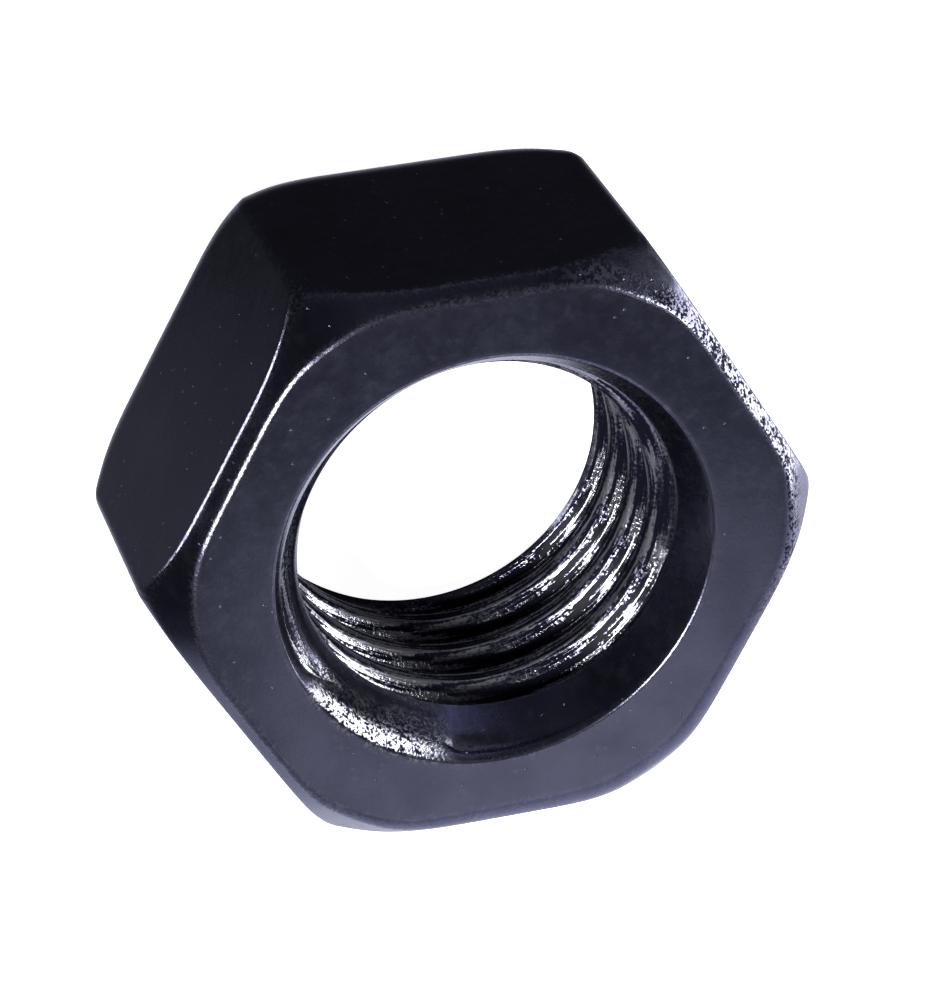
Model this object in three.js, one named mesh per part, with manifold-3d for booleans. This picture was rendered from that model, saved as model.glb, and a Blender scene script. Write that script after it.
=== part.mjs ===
// Hex nut, M10 x 1.5, right-hand thread, small series (14 mm across flats), black-oxide steel.
// Millimetres. +Z is the thread axis, +X points at a corner, and Z = 0 is the lower bearing face.
// The nut is one cold-formed piece of steel, so it is one solid: a soft-edged hexagon with a cone
// chamfer at each end, and a bore with a countersink at each end and a full helical thread. Its lower
// end, which was pressed into the bottom of the die, has softer rims than its upper end.
import * as THREE from 'three';
import { mergeVertices } from 'three/addons/utils/BufferGeometryUtils.js';
import Module from 'manifold-3d';

const wasm = await Module();
wasm.setup();

// Driving dimensions
const ACROSS_FLATS = 14;
const HEIGHT = 7.8;
const THREAD_MAJOR = 10.1;            // diameter at the groove's root, with the usual clearance
const THREAD_MINOR = 8.66;            // diameter at the thread's crests
const THREAD_PITCH = 1.5;
const THREAD_PHASE = 0.2;             // height of the groove's middle where it crosses the +X axis
const ROOT_FLAT = THREAD_PITCH / 8;   // width of the flat at the groove's root
const FLANK_ANGLE = Math.PI / 6;      // each flank leans 30 degrees, a 60 degree thread
const COUNTERSINK_DIAMETER = 10.4;
const COUNTERSINK_DEPTH = 1.35;
const CHAMFER_DIAMETER = 14.1;        // circle where the cone chamfer leaves the bearing face
const CHAMFER_SLOPE = 1.24;           // chamfer depth for each millimetre of radius past that circle
const CORNER_RADIUS = 0.35;           // rounding of the six upright edges

// Rounding where the flats meet each face, narrower than CORNER_RADIUS so that it can pass the corners
const UPPER_RIM = { width: 0.28, depth: 0.35 };
const LOWER_RIM = { width: 0.32, depth: 0.6 };

// Faceting
const TURN_STEPS = 60;                // facets in a full turn
const CORNER_STEPS = 4;
const RIM_STEPS = 4;
const OVERSHOOT = 1;                  // how far the cutting solids run past the nut
const TIDY_TOLERANCE = 0.003;         // slivers thinner than this are merged away after the cuts

const FLAT_RADIUS = ACROSS_FLATS / 2;
const CORNER_DISTANCE = FLAT_RADIUS / Math.cos(Math.PI / 6);

const blackOxide = new THREE.MeshStandardMaterial({
  color: 0x3f404f,
  roughness: 0.42,
  metalness: 0.85,
});

function solidOf(geometry) {
  geometry.deleteAttribute('normal');
  geometry.deleteAttribute('uv');
  const merged = mergeVertices(geometry, 1e-5);
  return new wasm.Manifold(new wasm.Mesh({
    numProp: 3,
    vertProperties: new Float32Array(merged.attributes.position.array),
    triVerts: new Uint32Array(merged.index.array),
  }));
}

function geometryOf(solid) {
  const mesh = solid.getMesh();
  const geometry = new THREE.BufferGeometry();
  geometry.setAttribute('position', new THREE.BufferAttribute(mesh.vertProperties, 3));
  geometry.setIndex(new THREE.BufferAttribute(mesh.triVerts, 1));
  const faceted = geometry.toNonIndexed();
  faceted.computeVertexNormals();
  return faceted;
}

// A profile of [radius, height] pairs turned about the Z axis
function turned(profile) {
  const points = profile.map(([radius, height]) => new THREE.Vector2(radius, height));
  const lathe = new THREE.LatheGeometry(points, TURN_STEPS);
  lathe.rotateX(Math.PI / 2);
  return solidOf(lathe);
}

// The hexagon seen from above, with its first corner on +X and a small arc at each corner
function hexagonOutline() {
  const outline = new THREE.Shape();
  const arcCentre = CORNER_DISTANCE - CORNER_RADIUS / Math.cos(Math.PI / 6);
  for (let corner = 0; corner < 6; corner += 1) {
    const angle = corner * Math.PI / 3;
    const x = arcCentre * Math.cos(angle);
    const y = arcCentre * Math.sin(angle);
    outline.absarc(x, y, CORNER_RADIUS, angle - Math.PI / 6, angle + Math.PI / 6, false);
  }
  outline.closePath();
  return outline;
}

// A hexagonal bar from one height to another, with its end rims rounded over
function hexagonBar(from, to, rim) {
  const bar = new THREE.ExtrudeGeometry(hexagonOutline(), {
    depth: to - from - 2 * rim.depth,
    curveSegments: CORNER_STEPS,
    bevelEnabled: true,
    bevelThickness: rim.depth,
    bevelSize: rim.width,
    bevelOffset: -rim.width,
    bevelSegments: RIM_STEPS,
  });
  bar.translate(0, 0, from + rim.depth);
  return solidOf(bar);
}

// The nut's own bar is what two longer bars share, so that each end keeps its own rim
function softEndedBar() {
  const upper = hexagonBar(-OVERSHOOT, HEIGHT, UPPER_RIM);
  const lower = hexagonBar(0, HEIGHT + OVERSHOOT, LOWER_RIM);
  return upper.intersect(lower);
}

// A spindle with a cone at each end, which cuts the corners back to a circle at each bearing face
function chamferSpindle() {
  const faceRadius = CHAMFER_DIAMETER / 2;
  const outerRadius = CORNER_DISTANCE + OVERSHOOT;
  const tipHeight = faceRadius * CHAMFER_SLOPE;
  const drop = (outerRadius - faceRadius) * CHAMFER_SLOPE;
  return turned([
    [0, -tipHeight],
    [outerRadius, drop],
    [outerRadius, HEIGHT - drop],
    [0, HEIGHT + tipHeight],
  ]);
}

// The plain hole at the crests' diameter, with a countersink cone at each end
function plainBore() {
  const crest = THREAD_MINOR / 2;
  const slope = (COUNTERSINK_DIAMETER / 2 - crest) / COUNTERSINK_DEPTH;
  const mouth = COUNTERSINK_DIAMETER / 2 + OVERSHOOT * slope;
  return turned([
    [0, -OVERSHOOT],
    [mouth, -OVERSHOOT],
    [crest, COUNTERSINK_DEPTH],
    [crest, HEIGHT - COUNTERSINK_DEPTH],
    [mouth, HEIGHT + OVERSHOOT],
    [0, HEIGHT + OVERSHOOT],
  ]);
}

// The thread's groove: a V section with a narrow flat root, swept along a right-hand helix.
// Its mouth starts inside the plain hole, so that the two cuts overlap.
function threadGroove() {
  const rootRadius = THREAD_MAJOR / 2;
  const mouthRadius = THREAD_MINOR / 2 - ROOT_FLAT;
  const rootHalf = ROOT_FLAT / 2;
  const mouthHalf = rootHalf + (rootRadius - mouthRadius) * Math.tan(FLANK_ANGLE);
  const section = [
    [mouthRadius, -mouthHalf],
    [rootRadius, -rootHalf],
    [rootRadius, rootHalf],
    [mouthRadius, mouthHalf],
  ];
  const start = THREAD_PHASE - THREAD_PITCH;
  const turns = (HEIGHT + OVERSHOOT - start) / THREAD_PITCH;
  const stations = Math.ceil(turns * TURN_STEPS) + 1;
  const positions = [];
  for (let station = 0; station < stations; station += 1) {
    const angle = station / TURN_STEPS * 2 * Math.PI;
    const rise = start + station / TURN_STEPS * THREAD_PITCH;
    for (const [radius, offset] of section) {
      positions.push(radius * Math.cos(angle), radius * Math.sin(angle), rise + offset);
    }
  }
  const corners = section.length;
  const triangles = [];
  for (let station = 0; station < stations - 1; station += 1) {
    for (let corner = 0; corner < corners; corner += 1) {
      const here = station * corners + corner;
      const beside = station * corners + (corner + 1) % corners;
      triangles.push(here, beside + corners, beside, here, here + corners, beside + corners);
    }
  }
  const last = (stations - 1) * corners;
  triangles.push(0, 1, 2, 0, 2, 3);
  triangles.push(last, last + 2, last + 1, last, last + 3, last + 2);
  const groove = new THREE.BufferGeometry();
  groove.setAttribute('position', new THREE.Float32BufferAttribute(positions, 3));
  groove.setIndex(triangles);
  return solidOf(groove);
}

function hexNut() {
  const body = softEndedBar().intersect(chamferSpindle());
  const threaded = body.subtract(plainBore()).subtract(threadGroove()).simplify(TIDY_TOLERANCE);
  const nut = new THREE.Mesh(geometryOf(threaded), blackOxide);
  nut.name = 'hex_nut';
  return nut;
}

const part = new THREE.Group();
part.add(hexNut());

export default part;
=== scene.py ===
"""The looks of a black-oxide M10 x 1.5 hex nut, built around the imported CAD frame.

The nut is made again as one fine mesh with rounded edges and a smooth helical thread. Sizes are worked
out in millimetres, in the part's own frame, and scaled to metres when the mesh is made.
"""

import math

import bpy
import numpy as np
from mathutils import Matrix, Vector


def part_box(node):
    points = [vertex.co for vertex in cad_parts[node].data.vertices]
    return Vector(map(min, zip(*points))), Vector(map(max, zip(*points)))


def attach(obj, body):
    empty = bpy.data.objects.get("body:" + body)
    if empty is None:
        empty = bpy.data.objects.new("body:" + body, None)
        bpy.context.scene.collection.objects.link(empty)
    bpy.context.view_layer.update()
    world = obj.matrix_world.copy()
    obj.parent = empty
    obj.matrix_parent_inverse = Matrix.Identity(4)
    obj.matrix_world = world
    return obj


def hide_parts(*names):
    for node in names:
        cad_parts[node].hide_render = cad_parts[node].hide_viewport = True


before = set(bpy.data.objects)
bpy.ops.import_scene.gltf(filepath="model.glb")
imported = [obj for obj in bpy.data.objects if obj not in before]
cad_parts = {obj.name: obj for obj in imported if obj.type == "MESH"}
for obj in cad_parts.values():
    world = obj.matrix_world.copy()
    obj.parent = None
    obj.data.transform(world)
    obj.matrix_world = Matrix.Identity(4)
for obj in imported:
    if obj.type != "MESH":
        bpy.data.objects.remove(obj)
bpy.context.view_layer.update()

MM = 0.001
TURN = 2 * math.pi

# ---------------------------------------------------------------- sizes, in millimetres

low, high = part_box("hex_nut")
HEIGHT = (high.z - low.z) / MM
FLAT_RADIUS = (high.y - low.y) / 2 / MM  # half the width across flats

THREAD_PITCH = 1.5
THREAD_MAJOR = 10.1  # diameter at the groove's root
THREAD_MINOR = 8.66  # diameter at the crests
THREAD_PHASE = 0.2  # height of the groove's middle where the thread crosses the X axis
ROOT_FLAT = THREAD_PITCH / 8
FLANK_SLOPE = 1 / math.tan(math.radians(30))  # radial fall for each millimetre along the axis
THREAD_ROUNDING = 0.07
COUNTERSINK_DIAMETER = 10.4
COUNTERSINK_DEPTH = 1.35
COUNTERSINK_SLOPE = (COUNTERSINK_DIAMETER - THREAD_MINOR) / 2 / COUNTERSINK_DEPTH
COUNTERSINK_ROUNDING = 0.05

# Each end: the circle where the cone chamfer leaves the face, the cone's slope, and the width of the
# bevel along the flats. Then how round the edges are: along the flats, at the corners, and at the face.
UPPER_END = {"circle": 7.05, "slope": 1.24, "bevel": 0.31, "side": 0.05, "corner": 0.3, "face": 0.07}
LOWER_END = {"circle": 7.1, "slope": 1.06, "bevel": 0.42, "side": 0.5, "corner": 0.6, "face": 0.3}
CORNER_START, CORNER_RISE = 2.9, 1.2  # how far along a flat corner rounding starts, and then grows full
BEVEL_BLEND = 0.3  # how gently the bevel runs into the cone
UPRIGHT_ROUNDING = 0.35  # the six upright edges

# Stretches round the nut: the angle of the middle, the cosine away from it at which the stretch starts,
# and how much further the cosine rises before it is full
SOFT_SIDE = {"angle": 0.0, "start": 0.25, "rise": 0.75}  # the upper rim was pressed more softly
WORN_SIDE = {"angle": math.radians(84), "start": 0.6, "rise": 0.25}  # the bevels are rubbed and pitted
WORN_MOUTH = {"angle": math.radians(291), "start": 0.88, "rise": 0.1}  # the countersink's mouth is rubbed

SOFT_SHIFT = 0.11  # how much narrower the chamfer is on the soft side
SOFT_FACE = 0.25  # how much rounder its edge with the face is there
MOUTH_SLOPE = 0.9  # how much shallower the cone starts at the rubbed mouth
MOUTH_FADE = 0.35  # depth over which that dies away
MOUTH_DEPTH = 0.9  # how deep bare steel shows there
MOUTH_RIM = 0.1  # how far past the rim it shows
THREAD_FADE = 0.8  # depth over which the thread fades in below it

# Rubbed surfaces, and the painted shade on the thread's crests
BORE_RUB = 0.4  # how rubbed the bore's edges are, next to 1 on the outside
OUTSIDE_GAP = 0.3  # the outside starts this far past the countersink's rim
THREAD_START, THREAD_RISE = 0.024, 0.08  # depth behind the cone where the thread's finish starts and grows
CREST_SHADE_REACH, CREST_SHADE_FALL = 0.09, 0.06  # how far out the painted shade on the crests reaches, and its soft edge
BEVEL_REACH, BEVEL_FALL = 0.55, 0.25  # how far from a face the bevel's finish reaches, and its soft edge
FACE_EDGE = 0.03  # its soft edge next to the face
BEVEL_RADIUS = 6  # no bevel lies nearer the axis
EDGE_BEND = 9.0  # bend, in radians a millimetre, that counts as a full edge

# Mesh density
SECTOR_COLUMNS = 74  # columns in each sixth of a turn
COLUMN_EVENNESS = 0.35  # 1 spreads them evenly, and less draws them towards the corners
OUTER_ROWS = 112
THREAD_ROWS = 22  # rows in one pitch
THREAD_SAMPLES = 600  # points of the section from which those rows are shared out
SPARE_TURNS = 2  # turns counted past each face, so that no row is missed
TRACE_RAYS = 1500
TRACE_HALVINGS = 34
CURVE_WEIGHT = 1.0  # millimetres of length that a radian of bend counts for when rows are shared out
SEAM_INSET = 0.15  # height between each bearing face and the ring where thread and outside meet
ROW_GAP = 0.02  # a helical row this close to that ring is left out


# ---------------------------------------------------------------- the nut's surface

def round_join(a, b, radius):
    """The larger of two distances, with the edge between them rounded."""
    edge = np.hypot(np.maximum(a + radius, 0), np.maximum(b + radius, 0))
    return np.minimum(-radius, np.maximum(a, b)) + edge


def smooth_max(a, b, width):
    """The larger of two values, blended where they are closer than a width."""
    overlap = np.maximum(width - np.abs(a - b), 0)
    return np.maximum(a, b) + overlap * overlap / (4 * width)


def rise(value, start, width):
    """From 0 at a starting value to 1 a width past it."""
    return np.clip((value - start) / width, 0, 1)


def fall(value, end, width):
    """From 1 a width before an end value to 0 at it."""
    return np.clip((end - value) / width, 0, 1)


def stretch(angle, place):
    """From 0 to 1 across one stretch round the nut."""
    return rise(np.cos(angle - place["angle"]), place["start"], place["rise"])


def flats_distance(radius, angle):
    """Distance outside the hexagon with rounded corners, whose first corner is on +X."""
    from_flat = np.mod(angle, TURN / 6) - TURN / 12
    out = radius * np.cos(from_flat)
    along = np.abs(radius * np.sin(from_flat))
    core = FLAT_RADIUS - UPRIGHT_ROUNDING
    past = along - core * math.tan(TURN / 12)
    corner = np.hypot(out - core, np.maximum(past, 0)) - UPRIGHT_ROUNDING
    return np.where(past > 0, corner, out - FLAT_RADIUS)


def chamfer_distance(radius, flats, from_face, end, shift):
    """Distance outside the cone chamfer and the bevel, at a depth below their bearing face."""
    cone = radius - end["circle"]
    bevel = flats + end["bevel"]
    run = smooth_max(cone, bevel, BEVEL_BLEND) - shift
    return (run * end["slope"] - from_face) / math.hypot(1, end["slope"])


def countersink_radius(from_face):
    """Radius of the countersink's cone at a depth below its bearing face."""
    return COUNTERSINK_DIAMETER / 2 - COUNTERSINK_SLOPE * from_face


def worn_mouth(angle):
    """From 0 to 1 across the rubbed stretch of the countersink's mouth, with soft ends."""
    share = stretch(angle, WORN_MOUTH)
    return share * share * (3 - 2 * share)


def mouth_wear(from_face, angle):
    """How far the rubbed stretch of the upper countersink stands in from its cone."""
    depth = np.maximum(from_face, 0)
    return MOUTH_SLOPE * worn_mouth(angle) * depth * np.exp(-depth / MOUTH_FADE)


def outside_distance(radius, height, angle):
    """Distance outside the nut, but for its thread."""
    flats = flats_distance(radius, angle)
    along = np.abs(radius * np.sin(np.mod(angle, TURN / 6) - TURN / 12))
    near_corner = rise(along, CORNER_START, CORNER_RISE) ** 2
    from_top = HEIGHT - height
    upper = (from_top, UPPER_END, stretch(angle, SOFT_SIDE), mouth_wear(from_top, angle))
    lower = (height, LOWER_END, 0, 0)
    ends = []
    for from_face, end, soft, wear in (upper, lower):
        rounding = end["side"] + (end["corner"] - end["side"]) * near_corner
        chamfer = chamfer_distance(radius, flats, from_face, end, SOFT_SHIFT * soft)
        side = round_join(flats, chamfer, rounding)
        capped = round_join(side, -from_face, end["face"] + SOFT_FACE * soft)
        sink = (countersink_radius(from_face) - wear - radius) / math.hypot(1, COUNTERSINK_SLOPE)
        ends.append(round_join(capped, sink, COUNTERSINK_ROUNDING))
    return np.maximum(*ends)


def thread_radius(offset):
    """The thread's section: radius at an axial offset from the groove's middle."""
    half = THREAD_PITCH / 2
    away = np.abs(np.mod(offset + half, THREAD_PITCH) - half)
    flank = THREAD_MAJOR / 2 - (away - ROOT_FLAT / 2) * FLANK_SLOPE
    cut = -smooth_max(-flank, -THREAD_MAJOR / 2, THREAD_ROUNDING)
    return smooth_max(cut, THREAD_MINOR / 2, THREAD_ROUNDING)


def helix_offset(height, angle):
    """Axial offset from the middle of the groove's first turn."""
    return height - THREAD_PHASE - THREAD_PITCH * angle / TURN


def bore_radius(height, angle):
    """Radius of the finished bore: the thread, opened out by the countersink at each end."""
    from_top = HEIGHT - height
    faded = np.clip(THREAD_FADE - from_top, 0, THREAD_FADE) * worn_mouth(angle)
    radius = thread_radius(helix_offset(height, angle)) - faded
    radius = smooth_max(radius, countersink_radius(height), THREAD_ROUNDING)
    return smooth_max(radius, countersink_radius(from_top) - mouth_wear(from_top, angle), THREAD_ROUNDING)


# ---------------------------------------------------------------- the mesh

def share_out(across, up, count):
    """Places count + 1 points along a traced curve, closer together where it bends."""
    step = np.hypot(np.diff(across), np.diff(up))
    heading = np.unwrap(np.arctan2(np.diff(up), np.diff(across)))
    bend = np.abs(np.diff(heading, prepend=heading[0]))
    along = np.concatenate([[0], np.cumsum(step + CURVE_WEIGHT * bend)])
    wanted = np.linspace(0, along[-1], count + 1)
    return np.interp(wanted, along, across), np.interp(wanted, along, up)


def column_angles():
    """Angles round the nut, closer together at its six corners."""
    half = SECTOR_COLUMNS // 2
    t = np.arange(-half, half) / half
    spread = COLUMN_EVENNESS * np.abs(t) + (1 - COLUMN_EVENNESS) * t * t
    offset = TURN / 12 * np.sign(t) * spread
    return np.concatenate([corner * TURN / 6 + offset for corner in range(6)])


def traced_outside(angles):
    """Rings of points from the upper countersink over the outside to the lower one."""
    centre = (THREAD_MAJOR / 2 + FLAT_RADIUS) / 2
    middle = HEIGHT / 2
    start = math.atan2(middle - SEAM_INSET, countersink_radius(SEAM_INSET) - centre)
    rays = np.linspace(start, -start, TRACE_RAYS)
    outward, upward = np.cos(rays)[None, :], np.sin(rays)[None, :]
    near = np.zeros((len(angles), TRACE_RAYS))
    far = near + HEIGHT
    for _ in range(TRACE_HALVINGS):
        mid = (near + far) / 2
        inside = outside_distance(centre + mid * outward, middle + mid * upward, angles[:, None]) < 0
        near = np.where(inside, mid, near)
        far = np.where(inside, far, mid)
    across = centre + near * outward
    up = middle + near * upward
    rings = [share_out(a, u, OUTER_ROWS) for a, u in zip(across, up)]
    return np.array([a for a, _ in rings]), np.array([u for _, u in rings])


def thread_offsets():
    """Axial offsets of the rows in one pitch, closer together where the section bends."""
    offset = np.linspace(0, THREAD_PITCH, THREAD_SAMPLES)
    _, places = share_out(thread_radius(offset), offset, THREAD_ROWS)
    return places[:-1]


def thread_heights(angle, offsets):
    """Heights of the thread's rows in one column, by their number along the helix.

    The rows climb along the helix, so each column holds its own run of them between the two seams.
    """
    first = THREAD_PHASE + THREAD_PITCH * angle / TURN
    heights = {}
    for turn in range(-SPARE_TURNS, SPARE_TURNS + math.ceil(HEIGHT / THREAD_PITCH)):
        for row, offset in enumerate(offsets):
            height = first + turn * THREAD_PITCH + offset
            if SEAM_INSET + ROW_GAP < height < HEIGHT - SEAM_INSET - ROW_GAP:
                heights[turn * THREAD_ROWS + row] = height
    return heights


def bore_faces(left, right, left_ring, right_ring):
    """Faces between two neighbouring columns of the bore, from the lower seam to the upper one."""
    shared = sorted(set(left) & set(right))
    first, last = shared[0], shared[-1]
    low_left = [left[key] for key in sorted(left) if key < first]
    low_right = [right[key] for key in sorted(right) if key < first]
    high_left = [left[key] for key in sorted(left) if key > last]
    high_right = [right[key] for key in sorted(right) if key > last]
    faces = [(left_ring[-1], *low_left, left[first], right[first], *reversed(low_right), right_ring[-1])]
    for below, above in zip(shared, shared[1:]):
        faces.append((left[below], left[above], right[above], right[below]))
    faces.append((left[last], *high_left, left_ring[0], right_ring[0], *reversed(high_right), right[last]))
    return faces


def nut_points():
    """Vertices as (radius, angle, height), and the faces between them."""
    angles = column_angles()
    across, up = traced_outside(angles)
    points = []
    rings = []
    for angle, radii, heights in zip(angles, across, up):
        rings.append(range(len(points), len(points) + OUTER_ROWS + 1))
        points += [(radius, angle, height) for radius, height in zip(radii, heights)]
    outside_count = len(points)

    offsets = thread_offsets()
    ladders = []
    for angle in angles % TURN:
        rows = thread_heights(angle, offsets)
        ladders.append({key: len(points) + place for place, key in enumerate(rows)})
        points += [(0.0, angle, height) for height in rows.values()]
    table = np.array(points, float)
    bore = table[outside_count:]
    bore[:, 0] = bore_radius(bore[:, 2], bore[:, 1])

    outer_faces = []
    inner_faces = []
    for column in range(len(angles)):
        after = (column + 1) % len(angles)
        here, there = rings[column], rings[after]
        for row in range(OUTER_ROWS):
            outer_faces.append((here[row], here[row + 1], there[row + 1], there[row]))
        # Across +X, where angles start again at 0, the same row has a number one turn higher
        wraps = angles[after] % TURN < angles[column] % TURN
        shift = THREAD_ROWS if wraps else 0
        right = {key - shift: vertex for key, vertex in ladders[after].items()}
        inner_faces += bore_faces(ladders[column], right, here, there)
    return table, outer_faces + inner_faces


def edge_share(mesh, points):
    """From 0 on flat ground to 1 on a sharp outward edge, for each vertex."""
    ends = np.zeros(len(mesh.edges) * 2, int)
    mesh.edges.foreach_get("vertices", ends)
    first, second = ends.reshape(-1, 2).T
    normals = np.zeros(len(points) * 3)
    mesh.vertices.foreach_get("normal", normals)
    normals = normals.reshape(-1, 3)
    span = points[second] - points[first]
    length = np.maximum((span * span).sum(1), 1e-9)
    bend = ((normals[second] - normals[first]) * span).sum(1) / length
    total = np.bincount(first, bend, len(points)) + np.bincount(second, bend, len(points))
    count = np.bincount(first, None, len(points)) + np.bincount(second, None, len(points))
    return np.clip(total / count / EDGE_BEND, 0, 1)


def store(mesh, name, kind, values):
    """Keeps a value for each vertex, for the material to read."""
    field = "vector" if kind == "FLOAT_VECTOR" else "value"
    layer = mesh.attributes.new(name, kind, "POINT")
    layer.data.foreach_set(field, np.asarray(values, np.float32).ravel())


def store_wear_and_crest_shade(mesh, points, table):
    """Stores where the finish is rubbed: edges, the worn mouth, the thread and the bevels; and the thread's
    crests, which get painted shade.
    """
    radius, angle, height = table.T
    rim = COUNTERSINK_DIAMETER / 2
    from_face = np.minimum(height, HEIGHT - height)
    edge = edge_share(mesh, points) * np.where(radius > rim + OUTSIDE_GAP, 1.0, BORE_RUB)
    mouth = worn_mouth(angle) * fall(radius, rim + MOUTH_RIM, MOUTH_RIM) * (height > HEIGHT - MOUTH_DEPTH)
    behind_cone = radius - countersink_radius(from_face)
    bevel = fall(from_face, BEVEL_REACH, BEVEL_FALL) * rise(from_face, 0, FACE_EDGE)
    bevel = bevel * (radius > BEVEL_RADIUS) * stretch(angle, WORN_SIDE)
    store(mesh, "edge", "FLOAT", np.maximum(edge, mouth))
    store(mesh, "mouth", "FLOAT", mouth)
    store(mesh, "thread", "FLOAT", rise(behind_cone, THREAD_START, THREAD_RISE) * (radius < rim))
    # painted shade: marks the thread's crests, which the material darkens towards the pit colour
    store(mesh, "painted_crest_shade", "FLOAT", fall(radius, THREAD_MINOR / 2 + CREST_SHADE_REACH, CREST_SHADE_FALL))
    store(mesh, "bevel", "FLOAT", bevel)


def store_lead(mesh, table):
    """Stores a place on a torus for each vertex, round the section and round the nut, for the streaks."""
    _, angle, height = table.T
    lead = helix_offset(height, angle) / THREAD_PITCH * TURN
    store(mesh, "lead", "FLOAT_VECTOR", np.stack([np.cos(lead), np.sin(lead), np.cos(angle)], 1))
    store(mesh, "lead_w", "FLOAT", np.sin(angle))


def build_nut():
    table, faces = nut_points()
    radius, angle, height = table.T
    points = np.stack([radius * np.cos(angle), radius * np.sin(angle), height], 1)
    mesh = bpy.data.meshes.new("nut_body")
    mesh.from_pydata((points * MM).tolist(), [], faces)
    mesh.polygons.foreach_set("use_smooth", [True] * len(mesh.polygons))
    mesh.update()
    store_wear_and_crest_shade(mesh, points, table)
    store_lead(mesh, table)
    nut = bpy.data.objects.new("nut_body", mesh)
    bpy.context.scene.collection.objects.link(nut)
    return nut


# ---------------------------------------------------------------- materials

OXIDE = (0.07, 0.072, 0.11, 1)
OXIDE_CLOUD = (0.09, 0.092, 0.138, 1)
OXIDE_MOTTLE = (0.1, 0.102, 0.15, 1)
BARE_STEEL = (0.3, 0.305, 0.335, 1)
# the colour of pits, and also of the painted shade on the thread's crests
PIT_AND_CREST_SHADE = (0.006, 0.006, 0.012, 1)
BUMP_MM = {"mottle": 0.001, "dent": 0.025, "grain": 0.011, "streak": 0.07}


class Graph:
    """A material's node tree, with one short call for each node."""

    def __init__(self, name):
        self.material = bpy.data.materials.new(name)
        self.material.use_nodes = True
        self.tree = self.material.node_tree
        self.shader = self.tree.nodes["Principled BSDF"]

    def add(self, kind, settings=(), **sockets):
        """A new node. Sockets are given by name, or by number after an underscore."""
        made = self.tree.nodes.new("ShaderNode" + kind)
        for key, value in dict(settings).items():
            setattr(made, key, value)
        for key, value in sockets.items():
            self.feed(made.inputs[int(key[1:]) if key[1:].isdigit() else key], value)
        return made

    def feed(self, socket, value):
        if isinstance(value, bpy.types.NodeSocket):
            self.tree.links.new(value, socket)
        else:
            socket.default_value = value

    def sum(self, first, second):
        return self.math("ADD", first, second)

    def product(self, first, second, clamp=False):
        return self.math("MULTIPLY", first, second, clamp)

    def larger(self, first, second):
        return self.math("MAXIMUM", first, second)

    def math(self, operation, first, second=0.0, clamp=False):
        made = self.add("Math", {"operation": operation, "use_clamp": clamp}, _0=first, _1=second)
        return made.outputs[0]

    def attribute(self, name, output="Fac"):
        return self.add("Attribute", {"attribute_name": name}).outputs[output]

    def noise(self, vector, scale, detail=2.0, roughness=0.5, weight=None):
        settings = {"noise_dimensions": "3D" if weight is None else "4D"}
        made = self.add("TexNoise", settings, Vector=vector, Scale=scale, Detail=detail, Roughness=roughness)
        if weight is not None:
            self.feed(made.inputs["W"], weight)
        return made.outputs["Fac"]

    def remap(self, value, low_in, high_in, low_out=0.0, high_out=1.0):
        made = self.add("MapRange", {"interpolation_type": "SMOOTHSTEP"})
        for socket, setting in zip(made.inputs, (value, low_in, high_in, low_out, high_out)):
            self.feed(socket, setting)
        return made.outputs[0]

    def blend(self, share, first, second):
        made = self.add("Mix", {"data_type": "RGBA"})
        self.feed(made.inputs["Factor"], share)
        self.feed(made.inputs[6], first)
        self.feed(made.inputs[7], second)
        return made.outputs[2]

    def dents(self, vector, scale, share):
        """Height of a surface with a small round dent in a share of its cells, from -1 to 0."""
        cells = self.add("TexVoronoi", Vector=vector, Scale=scale)
        draw = self.add("SeparateColor", Color=cells.outputs["Color"]).outputs[0]
        chosen = self.math("LESS_THAN", draw, share)
        return self.product(chosen, self.remap(cells.outputs["Distance"], 0.03, 0.09, -1.0, 0.0))

    def bump(self, height, distance, below=None):
        made = self.add("Bump", Height=height, Distance=distance, Strength=1.0)
        if below is not None:
            self.feed(made.inputs["Normal"], below)
        return made.outputs["Normal"]


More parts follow.
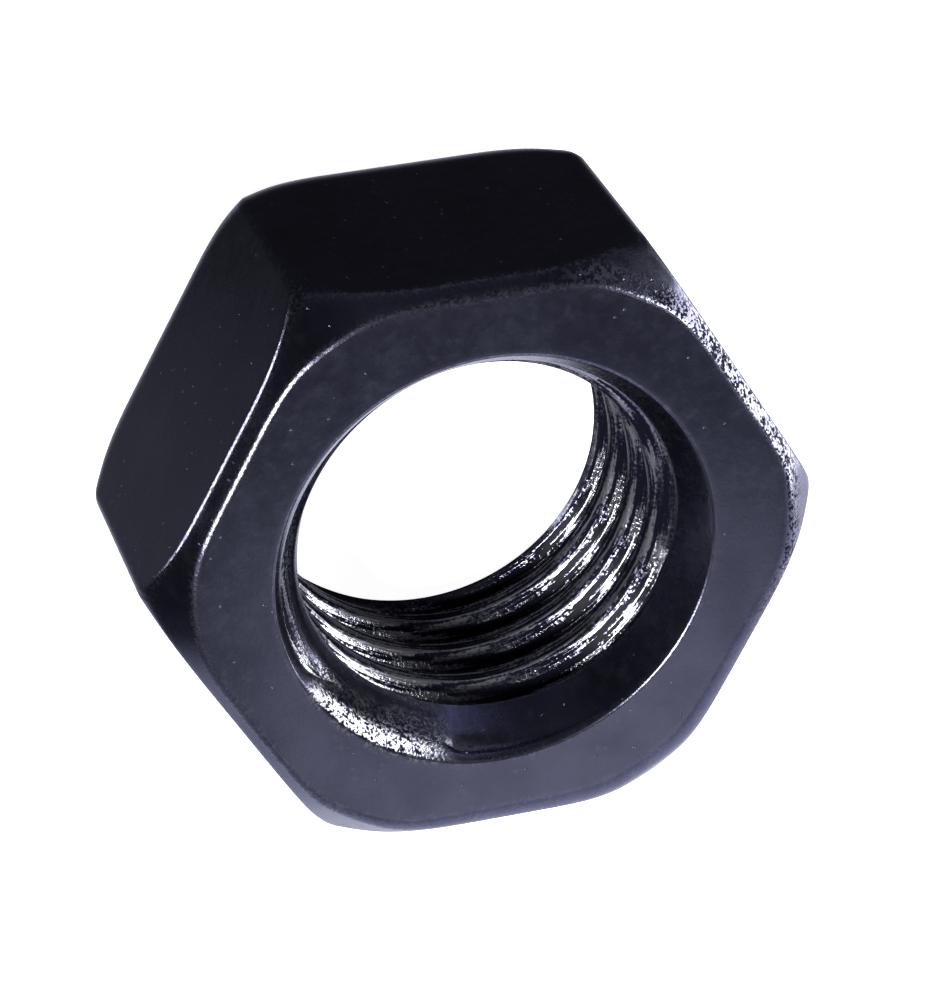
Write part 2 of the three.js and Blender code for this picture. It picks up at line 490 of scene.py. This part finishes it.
def black_oxide():
    """Oxide-blackened steel: blue-black, finely grained, and rubbed to bare, pitted steel in places, with
    painted shade on the thread's crests.
    """
    graph = Graph("black_oxide_steel")
    shader = graph.shader
    edge, mouth, thread, painted_crest_shade, bevel, lead_w = (
        graph.attribute(name) for name in ("edge", "mouth", "thread", "painted_crest_shade", "bevel", "lead_w"))
    lead = graph.attribute("lead", "Vector")
    place = graph.add("TexCoord").outputs["Object"]
    in_mm = graph.add("VectorMath", {"operation": "SCALE"}, Vector=place, Scale=1 / MM).outputs[0]

    # The patterns, with their scales in cells to the millimetre
    cloud = graph.noise(in_mm, 0.45, 3)
    mottle = graph.noise(in_mm, 3.0, 4, 0.6)
    grain = graph.noise(in_mm, 12.0, 2, 0.6)
    along_thread = graph.add("VectorMath", {"operation": "MULTIPLY"}, _0=lead, _1=(1, 1, 0.8)).outputs[0]
    streak = graph.noise(along_thread, 3.2, 2, 0.6, graph.product(lead_w, 0.8))
    dent = graph.dents(in_mm, 2.4, 0.7)

    # Where the finish is rubbed, it is bare steel where the specks are above 0.5 and a pit where they are
    # below. Along the thread they are drawn out into streaks, and the rubbed mouth has fewer pits.
    drawn = graph.sum(streak, graph.product(graph.sum(grain, -0.5), 0.35))
    beaded = graph.sum(grain, graph.product(graph.sum(mottle, -0.5), 0.5))
    speck = graph.add("Mix", Factor=thread, A=beaded, B=drawn).outputs[0]
    speck = graph.sum(speck, graph.product(mouth, 0.05))
    worn = graph.larger(edge, thread)
    pitted = graph.larger(worn, bevel)
    bare = graph.product(worn, graph.remap(speck, 0.5, 0.56), clamp=True)
    pit_and_crest_shade = graph.product(pitted, graph.remap(speck, 0.5, 0.47), clamp=True)
    # Painted shade: the thread's crests are darkened towards the pit colour and made less metallic
    pit_and_crest_shade = graph.larger(pit_and_crest_shade, graph.product(painted_crest_shade, 0.6))

    colour = graph.blend(graph.remap(cloud, 0.35, 0.65), OXIDE, OXIDE_CLOUD)
    colour = graph.blend(graph.remap(mottle, 0.58, 0.75), colour, OXIDE_MOTTLE)
    colour = graph.blend(bare, colour, BARE_STEEL)
    graph.feed(shader.inputs["Base Color"], graph.blend(pit_and_crest_shade, colour, PIT_AND_CREST_SHADE))
    graph.feed(shader.inputs["Metallic"], graph.math("SUBTRACT", 1.0, pit_and_crest_shade))
    rough = graph.remap(mottle, 0.3, 0.7, 0.24, 0.29)
    graph.feed(shader.inputs["Roughness"], graph.math("SUBTRACT", rough, graph.product(worn, 0.07)))
    shader.inputs["Specular IOR Level"].default_value = 0.0
    shader.inputs["Coat Weight"].default_value = 0.03
    shader.inputs["Coat Roughness"].default_value = 0.2

    # The grain stands out where the finish is rubbed
    grain_height = graph.product(grain, graph.remap(pitted, 0.0, 0.6, 0.1, 1.0))
    normal = graph.bump(mottle, BUMP_MM["mottle"] * MM)
    normal = graph.bump(dent, BUMP_MM["dent"] * MM, normal)
    normal = graph.bump(grain_height, BUMP_MM["grain"] * MM, normal)
    normal = graph.bump(graph.product(streak, thread), BUMP_MM["streak"] * MM, normal)
    graph.feed(shader.inputs["Normal"], normal)
    return graph.material


# ---------------------------------------------------------------- floor, camera and lights

FLOOR_SIZE = 4  # metres
FLOOR_GLOW = 0.97  # brightness of the floor's own light


def make_floor():
    """A pale floor that glows by itself, and neither lights the nut nor shows in it."""
    graph = Graph("pale_floor")
    graph.shader.inputs["Base Color"].default_value = (0.9, 0.9, 0.9, 1)
    graph.shader.inputs["Roughness"].default_value = 0.9
    graph.shader.inputs["Emission Color"].default_value = (1, 1, 1, 1)
    graph.shader.inputs["Emission Strength"].default_value = FLOOR_GLOW
    graph.material.cycles.emission_sampling = "NONE"
    bpy.ops.mesh.primitive_plane_add(size=FLOOR_SIZE, location=(0, 0, 0))
    floor = bpy.context.object
    floor.name = "floor"
    floor.data.materials.append(graph.material)
    floor.visible_glossy = False
    floor.visible_diffuse = False


# The camera looks down past the upper face and is rolled, so the two flats it sees are at the top and left
VIEW_TARGET = Vector((0.528, 0.088, 3.9))  # millimetres
VIEW_AZIMUTH = math.radians(175.78)  # from +X, counter-clockwise, of the camera seen from the target
VIEW_ELEVATION = math.radians(58.17)
VIEW_ROLL = math.radians(-148.21)
VIEW_DISTANCE = 100.06  # millimetres
LENS_MM = 153.0

# The world's light
AMBIENT = 0.03
GLOW = 1.4
GLOW_DIRECTION = (0.3, -0.6, -0.74)  # to the right, up and back in the camera's view
GLOW_EDGE = 0.17  # cosine from that direction at which the glow starts
COOL = (0.92, 0.94, 1.14)


def view_frame():
    """The directions right, up and back of the camera."""
    back = Vector((math.cos(VIEW_AZIMUTH) * math.cos(VIEW_ELEVATION),
                   math.sin(VIEW_AZIMUTH) * math.cos(VIEW_ELEVATION),
                   math.sin(VIEW_ELEVATION)))
    level = Vector((0, 0, 1)).cross(back).normalized()
    upright = back.cross(level)
    up = upright * math.cos(VIEW_ROLL) + level * math.sin(VIEW_ROLL)
    right = up.cross(back)
    return right, up, back


def in_view(across, upward, toward):
    """A vector given as parts to the right, up and towards the camera in its view."""
    right, up, back = view_frame()
    return right * across + up * upward + back * toward


def make_camera():
    right, up, back = view_frame()
    data = bpy.data.cameras.new("camera")
    data.lens = LENS_MM
    data.sensor_width = 36
    data.clip_start = 0.001
    data.clip_end = 10
    camera = bpy.data.objects.new("camera", data)
    turn = Matrix((right, up, back)).transposed().to_4x4()
    camera.matrix_world = Matrix.Translation((VIEW_TARGET + back * VIEW_DISTANCE) * MM) @ turn
    bpy.context.scene.collection.objects.link(camera)
    bpy.context.scene.camera = camera


def area_light(name, across, upward, toward, size, power, colour=(1, 1, 1)):
    """A round lamp aimed at the nut, placed from it in the camera's view, with place and size in mm."""
    data = bpy.data.lights.new(name, "AREA")
    data.shape = "DISK"
    data.size = size * MM
    data.energy = power
    data.color = colour
    lamp = bpy.data.objects.new(name, data)
    place = (in_view(across, upward, toward) + VIEW_TARGET) * MM
    aim = (VIEW_TARGET * MM - place).normalized()
    lamp.matrix_world = Matrix.Translation(place) @ aim.to_track_quat("-Z", "Y").to_matrix().to_4x4()
    bpy.context.scene.collection.objects.link(lamp)


def make_world():
    """Dim all round, with a soft glow from behind and below the nut, like light off a pale table."""
    world = bpy.data.worlds.new("studio")
    world.use_nodes = True
    nodes, links = world.node_tree.nodes, world.node_tree.links
    place = nodes.new("ShaderNodeTexCoord")
    share = nodes.new("ShaderNodeVectorMath")
    share.operation = "DOT_PRODUCT"
    share.inputs[1].default_value = in_view(*GLOW_DIRECTION).normalized()
    glow = nodes.new("ShaderNodeMapRange")
    glow.interpolation_type = "SMOOTHSTEP"
    glow.inputs["From Min"].default_value = GLOW_EDGE
    glow.inputs["To Min"].default_value = AMBIENT
    glow.inputs["To Max"].default_value = GLOW
    links.new(place.outputs["Generated"], share.inputs[0])
    links.new(share.outputs["Value"], glow.inputs["Value"])
    links.new(glow.outputs["Result"], nodes["Background"].inputs["Strength"])
    nodes["Background"].inputs["Color"].default_value = (*COOL, 1)
    bpy.context.scene.world = world


def light_scene():
    bpy.context.scene.view_settings.view_transform = "Standard"
    make_world()
    area_light("right_lamp", 92, 20, -32, 80, 0.15)
    area_light("mouth_lamp", 24.4, 6.8, 9, 12, 0.0031)
    area_light("near_right_lamp", 90, 0, 42, 42, 0.055)
    area_light("low_lamp", 17.6, -33, 13.2, 20, 0.00098)
    area_light("front_lamp", -22, -40, 88, 35, 0.14)
    area_light("left_lamp", -96, 18, 8, 45, 0.09)
    area_light("left_fill", -75, -4, -62, 70, 0.0014, COOL)
    area_light("top_fill", -10, 80, 58, 80, 0.0012, COOL)


nut = build_nut()
nut.data.materials.append(black_oxide())
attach(nut, "root")
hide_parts("hex_nut")
make_floor()
make_camera()
light_scene()
